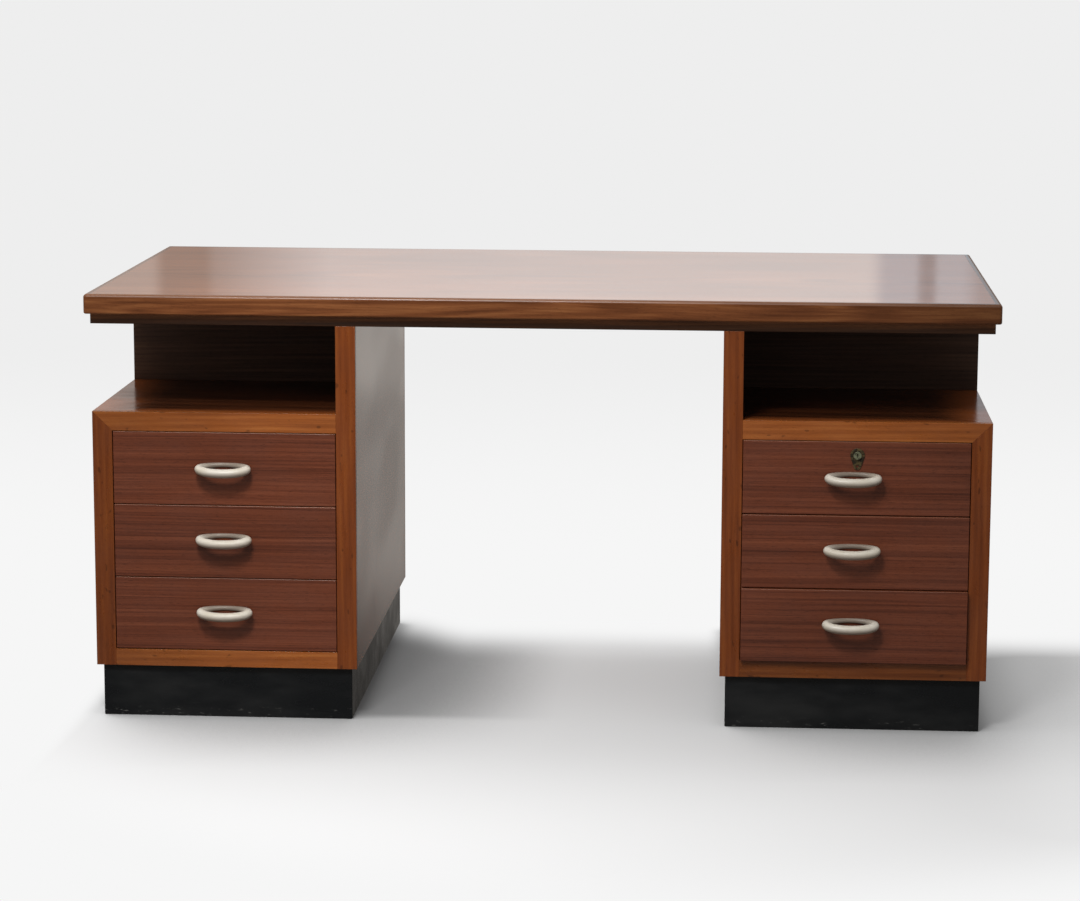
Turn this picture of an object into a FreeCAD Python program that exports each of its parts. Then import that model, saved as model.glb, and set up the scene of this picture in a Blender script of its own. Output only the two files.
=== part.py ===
import FreeCAD, Part
import math
import os

# Kneehole desk: a thick top on two drawer pedestals, each with an open niche under the top.
# The desk stands on z = 0 with its drawers towards -Y and its length along X.
# The origin is under the middle of the whole desk, pulls included. All sizes are millimetres.

Vector = FreeCAD.Vector

# Overall sizes
desk_height = 762.0
top_width = 1600.0
top_depth = 820.0

# Top: a veneered panel in a solid-wood edge, over a thinner recessed frame of rails
top_thickness = 35.0
top_lip_width = 12.0
top_edge_round = 4.0
top_edge_ease = 1.5
end_overhang = 10.0
front_overhang = 12.0
underframe_thickness = 18.0
underframe_rail_width = 70.0

# Pedestals: thick boards, edged front and back with solid wood
pedestal_width = 468.0
side_thickness = 35.0
shelf_height = 553.0
shelf_thickness = 34.0
bottom_thickness = 30.0
edging_depth = 12.0
partition_thickness = 20.0
back_panel_thickness = 12.0
back_panel_inset = 6.0

# Plinths
plinth_height = 94.0
plinth_inset = 10.0
plinth_board = 20.0

# Drawers
drawer_levels = ("top", "middle", "bottom")
front_gap = 1.2
front_thickness = 20.0
rear_space = 98.0
box_lift = 6.0
box_drop = 22.0
box_board = 14.0
back_drop = 8.0
bottom_panel = 4.0
bottom_rise = 8.0
bottom_tongue = 5.5
bottom_play = 0.2

# How far each right-hand drawer stands open at rest; every other drawer is closed
rest_pull_middle = 3.0
rest_pull_bottom = 10.0

# Runners: strips on the pedestal sides that ride in grooves of the drawer sides
runner_height = 12.0
runner_engagement = 7.0
runner_setback = 34.0
runner_drop = 40.0
runner_stop_gap = 1.0
groove_play = 0.5

# Pulls: oval rings, cut flat against the drawer front and tilted down towards the hand
pull_width = 100.0
pull_reach = 40.0
pull_bar = 16.0
pull_back_bar = 8.0
pull_tilt = 20.0
pull_rise = 11.5
pull_clear_of_plate = 4.0
right_pull_shift = 6.0
pull_screw_spacing = 48.0

# Pull screws, driven from inside the drawer
screw_diameter = 4.0
screw_bite = 5.0
screw_head_diameter = 8.0
screw_head_height = 2.4
screw_slot_width = 1.0
screw_slot_depth = 1.0
screw_bore_play = 0.05
screw_passage_play = 0.5

# Lock of the right top drawer
lock_offset = 1.0
lock_drop = 24.0
barrel_diameter = 14.0
barrel_stand = 3.5
barrel_play = 0.05
barrel_passage_play = 0.4
keyway_width = 2.0
keyway_height = 8.0
keyway_depth = 3.0
plate_thickness = 2.0
plate_round = 25.0
plate_tail_round = 13.0
plate_tail_drop = 19.0
plate_hole = 4.5
cam_diameter = 19.0
cam_thickness = 2.0
cam_gap = 0.4
cam_pin_diameter = 3.0
cam_pin_length = 4.0
bolt_throw = 9.0
bolt_width = 24.0
bolt_thickness = 4.0
bolt_top_gap = 1.0
bolt_foot = 6.0
bolt_play = 0.3
slot_play = 0.45
case_wall = 2.0
case_top_gap = 3.0
mortise_play = 1.5
mortise_depth = 10.0

# Heights shared by several pieces
underframe_top = desk_height - top_thickness
underframe_bottom = underframe_top - underframe_thickness
shelf_bottom = shelf_height - shelf_thickness
opening_bottom = plinth_height + bottom_thickness

# Distances from the middle of the desk
top_half_width = top_width / 2
pedestal_outer = top_half_width - end_overhang
pedestal_inner = pedestal_outer - pedestal_width
opening_inner = pedestal_inner + side_thickness
opening_outer = pedestal_outer - side_thickness
drawer_centre = (opening_inner + opening_outer) / 2

# The oval of a pull, measured along the middle of its bar in its own plane
pull_half_width = (pull_width - pull_bar) / 2
pull_half_depth = (pull_reach - pull_bar / 2) / 2
pull_tilt_angle = math.radians(pull_tilt)
pull_stand = 2 * pull_half_depth * math.cos(pull_tilt_angle) + pull_bar / 2

# Depths, set so that the origin is halfway between the foremost pull and the back of the top
rest_pull_most = max(rest_pull_middle, rest_pull_bottom)
pulls_ahead_of_top = max(0.0, pull_stand + rest_pull_most - front_overhang)
y_top_front = -(top_depth - pulls_ahead_of_top) / 2
y_top_back = y_top_front + top_depth
y_front = y_top_front + front_overhang
y_back = y_top_back - front_overhang
y_back_panel_front = y_back - back_panel_inset - back_panel_thickness

# Drawer sizes that follow from the pedestal
drawer_pitch = (shelf_bottom - opening_bottom - front_gap) / len(drawer_levels)
front_height = drawer_pitch - front_gap
front_half_width = (opening_outer - opening_inner) / 2 - front_gap
drawer_length = y_back_panel_front - y_front - rear_space
box_height = front_height - box_lift - box_drop
runner_width = front_gap + runner_engagement


def board(x_limits, y_limits, z_limits):
    """Rectangular board between three pairs of limits, each in either order."""
    low = Vector(min(x_limits), min(y_limits), min(z_limits))
    high = Vector(max(x_limits), max(y_limits), max(z_limits))
    size = high - low
    return Part.makeBox(size.x, size.y, size.z, low)


def prism_along_y(outline, y_start, y_end):
    """Solid with an outline of (x, z) points, from one depth to another."""
    corners = [Vector(x, y_start, z) for x, z in outline]
    face = Part.Face(Part.makePolygon(corners + corners[:1]))
    return face.extrude(Vector(0, y_end - y_start, 0))


def prism_along_z(outline, z_start, z_end):
    """Solid with an outline of (x, y) points, from one height to another."""
    corners = [Vector(x, y, z_start) for x, y in outline]
    face = Part.Face(Part.makePolygon(corners + corners[:1]))
    return face.extrude(Vector(0, 0, z_end - z_start))


def rod_along_y(diameter, x, y_start, y_end, z):
    """Round rod from one depth to another."""
    return Part.makeCylinder(diameter / 2, y_end - y_start, Vector(x, y_start, z), Vector(0, 1, 0))


def save(node, *solids):
    """Write one node, a single solid or a group of separate ones."""
    shape = solids[0] if len(solids) == 1 else Part.makeCompound(list(solids))
    shape.exportStep(f"parts/{node}.step")


def edges_at_height(solid, z):
    """Edges of a solid that lie wholly at one height."""
    reach = 1e-6
    return [edge for edge in solid.Edges if all(abs(v.Z - z) < reach for v in edge.Vertexes)]


def upright_edges(solid):
    """Edges of a solid that run straight up."""
    reach = 1e-6
    ends = [(edge, edge.Vertexes[0].Point - edge.Vertexes[-1].Point) for edge in solid.Edges]
    return [edge for edge, run in ends if abs(run.x) < reach and abs(run.y) < reach]


def rounded_top_slab():
    """Whole top with its corners and edges rounded, before it is parted into panel and edge."""
    x_limits = (-top_half_width, top_half_width)
    slab = board(x_limits, (y_top_front, y_top_back), (underframe_top, desk_height))
    rounding = min(top_edge_round, top_thickness / 3)
    slab = slab.makeFillet(rounding, upright_edges(slab) + edges_at_height(slab, desk_height))
    easing = min(top_edge_ease, rounding / 2)
    return slab.makeFillet(easing, edges_at_height(slab, underframe_top))


def save_top():
    """Top panel, its mitred solid-wood edge and the recessed frame of rails under it."""
    panel_x = top_half_width - top_lip_width
    panel_front = y_top_front + top_lip_width
    panel_back = y_top_back - top_lip_width
    heights = (underframe_top, desk_height)
    save("top_panel", board((-panel_x, panel_x), (panel_front, panel_back), heights))

    slab = rounded_top_slab()
    outer = [(-top_half_width, y_top_front), (top_half_width, y_top_front)]
    outer += [(top_half_width, y_top_back), (-top_half_width, y_top_back)]
    inner = [(-panel_x, panel_front), (panel_x, panel_front), (panel_x, panel_back), (-panel_x, panel_back)]
    edging = []
    for this in range(4):
        following = (this + 1) % 4
        strip = [outer[this], outer[following], inner[following], inner[this]]
        edging.append(slab.common(prism_along_z(strip, *heights)).Solids[0])
    save("top_edging", *edging)

    heights = (underframe_bottom, underframe_top)
    rail_front = y_front + underframe_rail_width
    rail_back = y_back - underframe_rail_width
    x_limits = (-pedestal_outer, pedestal_outer)
    rails = [board(x_limits, (y_front, rail_front), heights), board(x_limits, (rail_back, y_back), heights)]
    for side in (-1, 1):
        for start, inward in ((pedestal_outer, -1), (pedestal_inner, 1)):
            end = start + inward * underframe_rail_width
            rails.append(board((side * start, side * end), (rail_front, rail_back), heights))
    save("top_underframe", *rails)


def pedestal_outlines(side):
    """Outlines, as (x, z) points, of the four boards round a pedestal's drawers."""
    inner_side = [
        (side * pedestal_inner, plinth_height),
        (side * opening_inner, plinth_height),
        (side * opening_inner, underframe_bottom),
        (side * pedestal_inner, underframe_bottom),
    ]
    outer_side = [
        (side * opening_outer, plinth_height),
        (side * pedestal_outer, plinth_height),
        (side * pedestal_outer, shelf_height),
        (side * opening_outer, shelf_bottom),
    ]
    shelf = [
        (side * opening_inner, shelf_bottom),
        (side * opening_outer, shelf_bottom),
        (side * pedestal_outer, shelf_height),
        (side * opening_inner, shelf_height),
    ]
    bottom = [
        (side * opening_inner, plinth_height),
        (side * opening_outer, plinth_height),
        (side * opening_outer, opening_bottom),
        (side * opening_inner, opening_bottom),
    ]
    return {"inner_side": inner_side, "outer_side": outer_side, "shelf": shelf, "bottom": bottom}


def lock_mortise():
    """Pocket in the underside of the right shelf that the lock's bolt rises into."""
    bolt_front, bolt_back = bolt_depths()
    reach = bolt_width / 2 + mortise_play
    x_limits = (lock_x() - reach, lock_x() + reach)
    y_limits = (bolt_front - mortise_play, bolt_back + mortise_play)
    return board(x_limits, y_limits, (shelf_bottom, shelf_bottom + mortise_depth))


def save_pedestal(name, side):
    """Boards, edging, panels and plinth of one pedestal."""
    edging = []
    for piece, outline in pedestal_outlines(side).items():
        core = prism_along_y(outline, y_front + edging_depth, y_back - edging_depth)
        if piece == "shelf" and name == "right":
            core = core.cut(lock_mortise())
        save(f"{name}_{piece}", core)
        edging.append(prism_along_y(outline, y_front, y_front + edging_depth))
        edging.append(prism_along_y(outline, y_back - edging_depth, y_back))
    save(f"{name}_edging", *edging)

    opening = (side * opening_inner, side * opening_outer)
    panel_back = y_back - back_panel_inset
    heights = (opening_bottom, shelf_bottom)
    save(f"{name}_back_panel", board(opening, (y_back_panel_front, panel_back), heights))

    middle = (y_front + y_back) / 2
    depths = (middle - partition_thickness / 2, middle + partition_thickness / 2)
    niche = (side * opening_inner, side * pedestal_outer)
    save(f"{name}_niche_partition", board(niche, depths, (shelf_height, underframe_bottom)))

    outer = side * (pedestal_outer - plinth_inset)
    inner = side * (pedestal_inner + plinth_inset)
    front = y_front + plinth_inset
    back = y_back - plinth_inset
    between = (front + plinth_board, back - plinth_board)
    heights = (0.0, plinth_height)
    plinth = [
        board((inner, outer), (front, between[0]), heights),
        board((inner, outer), (between[1], back), heights),
        board((inner, inner + side * plinth_board), between, heights),
        board((outer - side * plinth_board, outer), between, heights),
    ]
    save(f"{name}_plinth", *plinth)


def front_bottom_height(level):
    """Height of the lower edge of a drawer front."""
    below = len(drawer_levels) - 1 - drawer_levels.index(level)
    return opening_bottom + front_gap + below * drawer_pitch


def runner_top_height(level):
    """Height of the face of a runner that its drawer rests on."""
    return front_bottom_height(level) + front_height - runner_drop


def save_runners():
    """Runner strips, a pair for every drawer, fixed to the pedestal sides."""
    runners = []
    depths = (y_front + runner_setback, y_back_panel_front)
    for side in (-1, 1):
        for level in drawer_levels:
            top = runner_top_height(level)
            heights = (top - runner_height, top)
            for wall, inward in ((opening_inner, 1), (opening_outer, -1)):
                limits = (side * wall, side * (wall + inward * runner_width))
                runners.append(board(limits, depths, heights))
    save("drawer_runners", *runners)


def pull_middle_x(side):
    """Sideways place of a pull's middle; the right-hand pulls sit nearer the kneehole."""
    shift = right_pull_shift if side > 0 else 0.0
    return side * drawer_centre - shift


def pull_middle_height(level):
    """Height of a pull's screws; the top pulls line up just below the lock's plate."""
    if level == "top":
        plate_bottom = lock_z() - plate_tail_drop - plate_tail_round / 2
        return plate_bottom - pull_clear_of_plate - pull_back_bar / 2
    return front_bottom_height(level) + front_height / 2 + pull_rise


def pull_section(turn, diameter):
    """Round section of a pull's bar: a turn of -90 degrees is its front, 90 degrees its back."""
    angle = math.radians(turn)
    section = Part.Wire(Part.makeCircle(diameter / 2, Vector(), Vector(1, 0, 0)))
    run_x = -pull_half_width * math.sin(angle)
    run_y = pull_half_depth * math.cos(angle)
    section.rotate(Vector(), Vector(0, 0, 1), math.degrees(math.atan2(run_y, run_x)))
    centre_x = pull_half_width * math.cos(angle)
    section.translate(Vector(centre_x, pull_half_depth * (math.sin(angle) - 1), 0))
    return section


def pull_ring():
    """Oval ring pull, with its flat back on y = 0 and bored for its two screws."""
    oval = Part.Ellipse(Vector(0, -pull_half_depth, 0), pull_half_width, pull_half_depth)
    half_turn = Part.ArcOfEllipse(oval, -math.pi / 2, math.pi / 2)
    bar = Part.BRepOffsetAPI.MakePipeShell(Part.Wire(half_turn.toShape()))
    for turn, diameter in ((-90.0, pull_bar), (0.0, pull_bar), (90.0, pull_back_bar)):
        bar.add(pull_section(turn, diameter))
    bar.build()
    bar.makeSolid()
    half = bar.shape()
    ring = half.fuse(half.mirror(Vector(), Vector(1, 0, 0)))
    ring.rotate(Vector(), Vector(1, 0, 0), pull_tilt)
    reach = pull_width + pull_reach
    ring = ring.common(board((-reach, reach), (-reach, 0), (-reach, reach)))
    for x in (-pull_screw_spacing / 2, pull_screw_spacing / 2):
        ring = ring.cut(rod_along_y(screw_diameter + 2 * screw_bore_play, x, -screw_bite, 0, 0))
    return ring.Solids[0]


def pull_screw(x, y, z):
    """Slotted screw with its head on the depth y, pointing to the front."""
    point = y - front_thickness - screw_bite
    shank = rod_along_y(screw_diameter, x, point + screw_bore_play, y, z)
    head = rod_along_y(screw_head_diameter, x, y, y + screw_head_height, z)
    half_slot = screw_slot_width / 2
    slot_y = (y + screw_head_height - screw_slot_depth, y + screw_head_height)
    slot = board((x - screw_head_diameter, x + screw_head_diameter), slot_y, (z - half_slot, z + half_slot))
    return shank.fuse(head).removeSplitter().cut(slot)


def save_drawer(name, level, ring):
    """Box, front, pull and screws of one drawer."""
    node = f"{name}_{level}"
    side = -1 if name == "left" else 1
    locked = node == "right_top"
    rest_pull = {"right_middle": rest_pull_middle, "right_bottom": rest_pull_bottom}.get(node, 0.0)
    x_middle = side * drawer_centre
    x_limits = (x_middle - front_half_width, x_middle + front_half_width)
    face = y_front - rest_pull
    front_back = face + front_thickness
    rear = face + drawer_length
    front_bottom = front_bottom_height(level)
    box_bottom = front_bottom + box_lift
    box_top = box_bottom + box_height
    panel_bottom = box_bottom + bottom_rise
    panel_top = panel_bottom + bottom_panel
    inner = (x_limits[0] + box_board, x_limits[1] - box_board)

    panel_x = (inner[0] - bottom_tongue, inner[1] + bottom_tongue)
    panel = board(panel_x, (front_back - bottom_tongue, rear), (panel_bottom, panel_top))
    save(f"{node}_drawer_bottom", panel)
    groove_x = (panel_x[0] - bottom_play, panel_x[1] + bottom_play)
    groove = board(groove_x, (front_back - bottom_tongue - bottom_play, rear), (panel_bottom, panel_top))

    pull_x = pull_middle_x(side)
    pull_height = pull_middle_height(level)
    screw_places = [pull_x - pull_screw_spacing / 2, pull_x + pull_screw_spacing / 2]
    front = board(x_limits, (face, front_back), (front_bottom, front_bottom + front_height)).cut(groove)
    passage = screw_diameter + 2 * screw_passage_play
    for x in screw_places:
        front = front.cut(rod_along_y(passage, x, face, front_back, pull_height))
    if locked:
        bore = barrel_diameter + 2 * barrel_passage_play
        front = front.cut(rod_along_y(bore, lock_x(), face, front_back, lock_z()))
    save(f"{node}_drawer_front", front)

    runner_top = runner_top_height(level)
    ride_y = (face + runner_setback - runner_stop_gap, rear)
    ride_z = (runner_top - runner_height - groove_play, runner_top)
    sides = []
    for outer, inward in ((x_limits[0], 1), (x_limits[1], -1)):
        wall = board((outer, outer + inward * box_board), (front_back, rear), (box_bottom, box_top))
        ride = board((outer, outer + inward * (runner_engagement + groove_play)), ride_y, ride_z)
        sides.append(wall.cut(groove).cut(ride))
    save(f"{node}_drawer_sides", *sides)

    back = board(inner, (rear - box_board, rear), (panel_top, box_top - back_drop))
    save(f"{node}_drawer_back", back)

    pull = ring.copy()
    pull.translate(Vector(pull_x, face, pull_height))
    save(f"{node}_pull", pull)
    save(f"{node}_pull_screws", *[pull_screw(x, front_back, pull_height) for x in screw_places])


def lock_x():
    """Sideways place of the lock's barrel."""
    return drawer_centre + lock_offset


def lock_z():
    """Height of the lock's barrel."""
    return front_bottom_height("top") + front_height - lock_drop


def bolt_depths():
    """Depths of the front and back faces of the lock's bolt."""
    bolt_front = y_front + front_thickness + 2 * cam_gap + cam_thickness
    return bolt_front, bolt_front + bolt_thickness


def cam_pin_place():
    """Sideways and downward places of the cam's pin from the barrel, with the bolt drawn in."""
    return bolt_throw / 2, -bolt_throw / 2


def save_escutcheon():
    """Pear-shaped plate round the lock's barrel, on the face of the drawer front."""
    x = lock_x()
    z = lock_z()
    tail_z = z - plate_tail_drop
    front = y_front - plate_thickness
    plate = rod_along_y(plate_round, x, front, y_front, z)
    plate = plate.fuse(rod_along_y(plate_tail_round, x, front, y_front, tail_z))
    lean = math.asin((plate_round - plate_tail_round) / 2 / plate_tail_drop)
    upper = plate_round / 2
    lower = plate_tail_round / 2
    waist = []
    for side, radius, middle in ((-1, upper, z), (1, upper, z), (1, lower, tail_z), (-1, lower, tail_z)):
        waist.append((x + side * radius * math.cos(lean), middle - radius * math.sin(lean)))
    plate = plate.fuse(prism_along_y(waist, front, y_front)).removeSplitter()
    plate = plate.cut(rod_along_y(barrel_diameter + 2 * barrel_play, x, front, y_front, z))
    save("lock_escutcheon", plate.cut(rod_along_y(plate_hole, x, front, y_front, tail_z)))


def save_barrel():
    """Barrel that the key turns, with the cam and pin that lift the bolt."""
    x = lock_x()
    z = lock_z()
    head = y_front - plate_thickness - barrel_stand
    cam_front = y_front + front_thickness + cam_gap
    cam_back = cam_front + cam_thickness
    pin_x, pin_z = cam_pin_place()
    barrel = rod_along_y(barrel_diameter, x, head, cam_front, z)
    barrel = barrel.fuse(rod_along_y(cam_diameter, x, cam_front, cam_back, z))
    pin_back = cam_back + cam_pin_length
    barrel = barrel.fuse(rod_along_y(cam_pin_diameter, x + pin_x, cam_back, pin_back, z + pin_z))
    keyway_x = (x - keyway_width / 2, x + keyway_width / 2)
    keyway_z = (z - keyway_height / 2, z + keyway_height / 2)
    keyway = board(keyway_x, (head, head + keyway_depth), keyway_z)
    save("lock_barrel", barrel.removeSplitter().cut(keyway))


def save_bolt():
    """Bolt that rises into the shelf, with the level slot that the cam's pin works in."""
    x = lock_x()
    z = lock_z()
    depths = bolt_depths()
    pin_x, pin_z = cam_pin_place()
    half_width = bolt_width / 2
    top = z + lock_drop - bolt_top_gap
    bolt = board((x - half_width, x + half_width), depths, (z + pin_z - bolt_foot, top))
    pin_reach = cam_pin_diameter / 2 + slot_play
    pin_furthest = math.hypot(pin_x, pin_z)
    slot_x = (x + pin_x - pin_reach, x + pin_furthest + pin_reach)
    save("lock_bolt", bolt.cut(board(slot_x, depths, (z + pin_z - pin_reach, z + pin_z + pin_reach))))


def save_lock_case():
    """Lock case on the back of the drawer front, which guides the bolt and covers the cam."""
    x = lock_x()
    z = lock_z()
    front = y_front + front_thickness
    bolt_front, bolt_back = bolt_depths()
    back = bolt_back + bolt_play
    pin_z = cam_pin_place()[1]
    reach = bolt_width / 2 + bolt_play
    bottom = z + pin_z - bolt_foot - bolt_play
    top = z + lock_drop - case_top_gap
    shell_x = (x - reach - case_wall, x + reach + case_wall)
    shell = board(shell_x, (front, back + case_wall), (bottom - case_wall, top))
    cavity = board((x - reach, x + reach), (front, back), (bottom, top - case_wall))
    mouth = board((x - reach, x + reach), (bolt_front - bolt_play, back), (top - case_wall, top))
    save("lock_case", shell.cut(cavity).cut(mouth))


os.makedirs("parts", exist_ok=True)
save_top()
save_runners()
ring_pull = pull_ring()
for pedestal, direction in (("left", -1), ("right", 1)):
    save_pedestal(pedestal, direction)
    for drawer_level in drawer_levels:
        save_drawer(pedestal, drawer_level, ring_pull)
save_escutcheon()
save_barrel()
save_bolt()
save_lock_case()
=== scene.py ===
"""Finishes, softened edges, ring pulls and studio for the kneehole desk.

The desk faces -Y with its length along X and stands on z = 0. All sizes are metres.
"""

import logging
import math
from collections.abc import Callable, Iterable
from dataclasses import dataclass, replace
from enum import Enum

import bmesh
import bpy
from bmesh.types import BMEdge, BMesh, BMFace, BMVert
from bpy.types import Material, Node, NodeSocket, NodeTree, Object
from mathutils import Matrix, Vector


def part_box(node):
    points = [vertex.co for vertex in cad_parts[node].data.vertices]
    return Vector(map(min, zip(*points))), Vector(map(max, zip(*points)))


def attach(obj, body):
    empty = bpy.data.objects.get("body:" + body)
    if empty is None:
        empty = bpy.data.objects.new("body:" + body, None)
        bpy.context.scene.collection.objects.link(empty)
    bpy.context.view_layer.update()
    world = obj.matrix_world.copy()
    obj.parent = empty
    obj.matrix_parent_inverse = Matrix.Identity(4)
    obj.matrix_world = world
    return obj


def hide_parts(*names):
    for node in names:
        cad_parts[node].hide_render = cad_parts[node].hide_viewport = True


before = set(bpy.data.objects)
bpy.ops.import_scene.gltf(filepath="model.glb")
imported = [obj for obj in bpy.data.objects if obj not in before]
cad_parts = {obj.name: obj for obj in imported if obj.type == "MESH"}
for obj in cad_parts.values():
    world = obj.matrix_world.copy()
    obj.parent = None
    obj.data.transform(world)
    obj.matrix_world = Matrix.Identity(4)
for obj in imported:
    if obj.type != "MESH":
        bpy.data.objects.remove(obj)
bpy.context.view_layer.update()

Colour = tuple[float, float, float, float]
Triple = tuple[float, float, float]
Shade = tuple[int, int, int]
Span = tuple[float, float]

LOG = logging.getLogger("kneehole_desk")
NEAR = 1e-5
ORIGIN: Triple = (0.0, 0.0, 0.0)
UNSCALED: Triple = (1.0, 1.0, 1.0)
RISING: Span = (0.0, 1.0)
FALLING: Span = (1.0, 0.0)
WHITE: Colour = (1.0, 1.0, 1.0, 1.0)
BLACK: Colour = (0.0, 0.0, 0.0, 1.0)
QUARTER_TURN = math.radians(90)
CORNER_TURN = 1.0
SHARP_TURN = math.radians(50)
EASED_TURN = math.radians(40)
FLAT_TURN = math.radians(0.5)


class GrainAxis(Enum):
    """Direction that the grain of a board runs in, with the turn that lays it along X."""

    ALONG_X = (0.0, 0.0, 0.0)
    ALONG_Y = (0.0, 0.0, -90.0)
    ALONG_Z = (0.0, 90.0, 0.0)


class Side(Enum):
    """Pedestal on the left or right of the kneehole, with the sign of its place along X."""

    LEFT = -1
    RIGHT = 1

    @property
    def word(self) -> str:
        """Word that the names of this side's pieces start with."""
        return self.name.lower()


class Level(Enum):
    """Drawer of a pedestal, counted from the top."""

    TOP = "top"
    MIDDLE = "middle"
    BOTTOM = "bottom"


def shade(red: int, green: int, blue: int) -> Colour:
    """Work out the linear colour of a shade that is written in display values.

    Args:
        red: Red from 0 to 255.
        green: Green from 0 to 255.
        blue: Blue from 0 to 255.

    Returns:
        The linear colour with full alpha.
    """

    def linear(value: int) -> float:
        """Linear light of one display value, by the standard curve of displays."""
        share = value / 255
        return share / 12.92 if share <= 0.04045 else ((share + 0.055) / 1.055) ** 2.4

    return linear(red), linear(green), linear(blue), 1.0


@dataclass(frozen=True)
class Patch:
    """Size of a noise's patches along and across the grain, and the number of finer layers."""

    length: float
    width: float
    detail: float = 3.0


@dataclass(frozen=True)
class GrainLayer(Patch):
    """One layer of streaks along the grain, with its share in the tone."""

    share: float = 0.0


@dataclass(frozen=True)
class Mottle(Patch):
    """Patches that show where the noise lies between two limits."""

    limits: Span = RISING


class NodeSheet:
    """Node tree of a material or world, with a short call for each node that the finishes share."""

    MIX_FACTOR = 0
    MIX_FIRST = 6
    MIX_SECOND = 7
    MIX_RESULT = 2
    NOISE_ROUGHNESS = 0.6
    NOISE_MIDDLE = (0.5, 0.5, 0.5)
    SHADING_SAMPLES = 12

    def __init__(self, tree: NodeTree) -> None:
        """Take over an emptied node tree."""
        self.tree = tree
        self.tree.nodes.clear()

    def node(self, kind: str, inputs: dict, **settings: object) -> Node:
        """Add a node.

        Args:
            kind: Blender's name for the type of node.
            inputs: Sockets or plain values, by the name or number of the input.
            settings: Properties of the node itself.

        Returns:
            The new node.
        """
        made = self.tree.nodes.new(kind)
        for key, value in settings.items():
            setattr(made, key, value)
        for key, value in inputs.items():
            if isinstance(value, NodeSocket):
                self.tree.links.new(value, made.inputs[key])
            else:
                made.inputs[key].default_value = value
        return made

    def object_space(self) -> NodeSocket:
        """Coordinates of the piece itself, in metres."""
        return self.node("ShaderNodeTexCoord", {}).outputs["Object"]

    def axis(self, vector: NodeSocket, name: str) -> NodeSocket:
        """X, Y or Z of a vector."""
        return self.node("ShaderNodeSeparateXYZ", {"Vector": vector}).outputs[name]

    def placed(self, vector: NodeSocket, place: Triple, turn: Triple, scale: Triple) -> NodeSocket:
        """Scale, turn in degrees and move coordinates, in that order."""
        turns = tuple(math.radians(angle) for angle in turn)
        inputs = {"Vector": vector, "Location": place, "Rotation": turns, "Scale": scale}
        return self.node("ShaderNodeMapping", inputs).outputs["Vector"]

    def grain_space(self, axis: GrainAxis) -> NodeSocket:
        """Coordinates of the piece, turned so that its grain runs along X."""
        return self.placed(self.object_space(), ORIGIN, axis.value, UNSCALED)

    def noise_node(self, vector: NodeSocket, patch: Patch, **inputs: float) -> Node:
        """Noise texture in coordinates that are stretched to the size of a patch."""
        stretch = (1 / patch.length, 1 / patch.width, 1 / patch.width)
        stretched = self.placed(vector, ORIGIN, ORIGIN, stretch)
        inputs = {"Vector": stretched, "Scale": 1.0, "Detail": patch.detail, **inputs}
        return self.node("ShaderNodeTexNoise", inputs)

    def noise(self, vector: NodeSocket, patch: Patch) -> NodeSocket:
        """Noise from 0 to 1 in coordinates with the grain along X."""
        return self.noise_node(vector, patch, Roughness=self.NOISE_ROUGHNESS).outputs["Fac"]

    def patches(self, vector: NodeSocket, mottle: Mottle, ends: Span = RISING) -> NodeSocket:
        """Noise that steps from one end value to the other between the limits of its patches."""
        return self.spread(self.noise(vector, mottle), mottle.limits, ends)

    def bent(self, vector: NodeSocket, patch: Patch, amount: float) -> NodeSocket:
        """Coordinates pushed across the grain by a slow noise, so that straight lines wander."""
        wander = self.noise_node(vector, patch).outputs["Color"]
        centred = self.vector("SUBTRACT", wander, self.NOISE_MIDDLE)
        across = self.vector("MULTIPLY", centred, (0.0, amount, amount))
        return self.vector("ADD", vector, across)

    def vector(self, operation: str, first: NodeSocket, second: NodeSocket | Triple) -> NodeSocket:
        """Vector sum, product or other operation."""
        node = self.node("ShaderNodeVectorMath", {0: first, 1: second}, operation=operation)
        return node.outputs["Vector"]

    def math(self, operation: str, first: NodeSocket, second: NodeSocket | float = 0.0) -> NodeSocket:
        """Operation on two numbers."""
        return self.node("ShaderNodeMath", {0: first, 1: second}, operation=operation).outputs[0]

    def spread(self, value: NodeSocket, limits: Span, ends: Span = RISING) -> NodeSocket:
        """Smooth step of a value between two limits from one end value to the other."""
        low, high = limits
        first, last = ends
        inputs = {"Value": value, "From Min": low, "From Max": high, "To Min": first, "To Max": last}
        node = self.node("ShaderNodeMapRange", inputs, interpolation_type="SMOOTHSTEP")
        return node.outputs["Result"]

    def ramp(self, factor: NodeSocket, stops: Iterable[tuple[float, Colour]]) -> NodeSocket:
        """Colour ramp.

        Args:
            factor: Place along the ramp from 0 to 1.
            stops: Places and colours in rising order, two at least.

        Returns:
            The colour.
        """
        node = self.node("ShaderNodeValToRGB", {"Fac": factor})
        elements = node.color_ramp.elements
        wanted = list(stops)
        while len(elements) < len(wanted):
            elements.new(0.5)
        for element, (place, colour) in zip(elements, wanted):
            element.position = place
            element.color = colour
        return node.outputs["Color"]

    def mix(self, factor: NodeSocket | float, first: NodeSocket | Colour, second: NodeSocket | Colour,
            blend: str = "MIX") -> NodeSocket:
        """Mix of two colours."""
        inputs = {self.MIX_FACTOR: factor, self.MIX_FIRST: first, self.MIX_SECOND: second}
        node = self.node("ShaderNodeMix", inputs, data_type="RGBA", blend_type=blend)
        return node.outputs[self.MIX_RESULT]

    def darkened(self, colour: NodeSocket | Colour, mask: NodeSocket, depth: float) -> NodeSocket:
        """Colour multiplied down by a share where a mask is 1."""
        grey = 1 - depth
        return self.mix(mask, colour, self.mix(1.0, colour, (grey, grey, grey, 1.0), "MULTIPLY"))

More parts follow.
